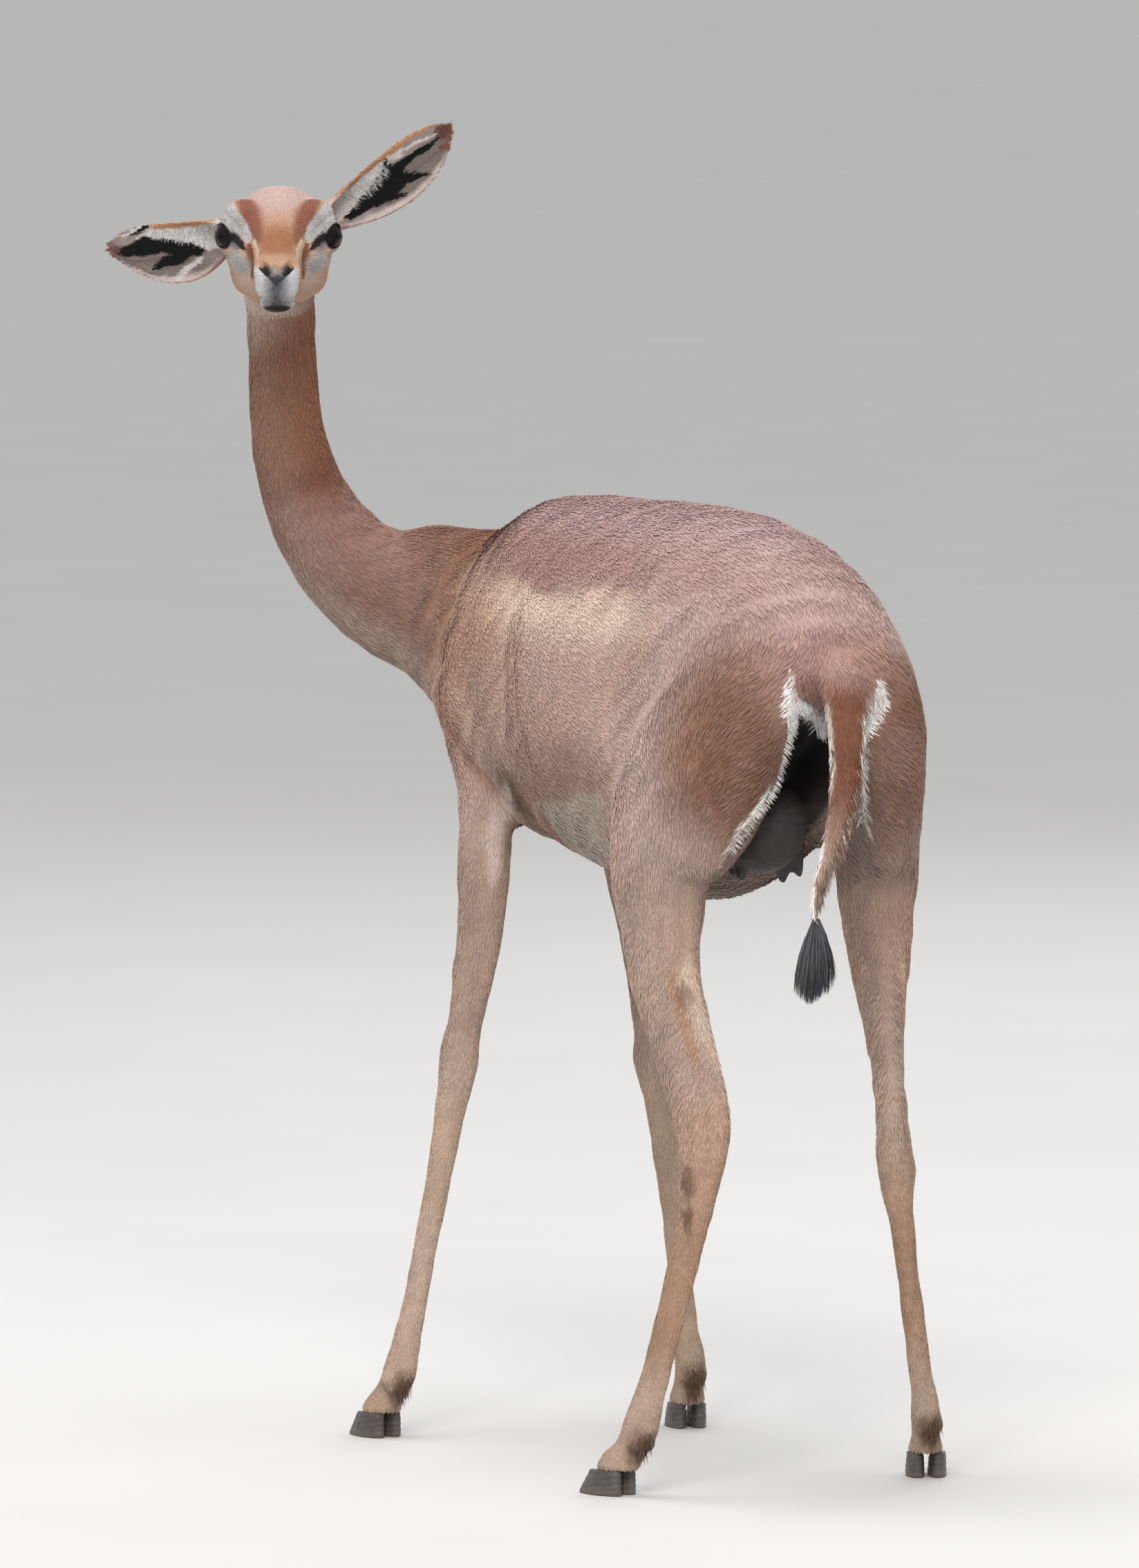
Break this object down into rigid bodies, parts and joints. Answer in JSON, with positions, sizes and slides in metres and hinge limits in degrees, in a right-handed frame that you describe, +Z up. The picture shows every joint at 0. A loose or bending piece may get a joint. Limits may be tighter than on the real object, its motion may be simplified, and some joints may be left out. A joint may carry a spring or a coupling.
{
  "type": "standing gerenuk",
  "caption": "Life-size model of a hornless female gerenuk standing on four thin legs, long neck raised and head turned back over its left side, ears spread.",
  "frame": {"origin": "on the ground under the middle of the whole model's box", "axes": "+Z up; the animal's body faces -Y, its left side is +X"},
  "size_m": [0.546, 0.9696, 1.2983],
  "materials": {
    "coat": "short flat fur, red-brown saddle over paler tan flanks and a white belly",
    "horn": "dark dull horn",
    "eye": "wet dark eye",
    "bare_skin": "dark grey bare skin",
    "tail_brush": "dark grey-black hair"
  },
  "bodies": {
    "root": {"head": "coat", "ear_left": "coat", "ear_right": "coat", "neck_upper": "coat", "neck_lower": "coat", "torso": "coat", "tail": "coat", "fore_left_forearm": "coat", "fore_left_cannon": "coat", "fore_right_forearm": "coat", "fore_right_cannon": "coat", "hind_left_thigh": "coat", "hind_left_cannon": "coat", "hind_right_thigh": "coat", "hind_right_cannon": "coat", "fore_left_hoof_inner": "horn", "fore_left_hoof_outer": "horn", "fore_right_hoof_inner": "horn", "fore_right_hoof_outer": "horn", "hind_left_hoof_inner": "horn", "hind_left_hoof_outer": "horn", "hind_right_hoof_inner": "horn", "hind_right_hoof_outer": "horn", "eye_left": "eye", "eye_right": "eye", "udder": "bare_skin", "tail_tuft": "tail_brush"}
  },
  "joints": []
}
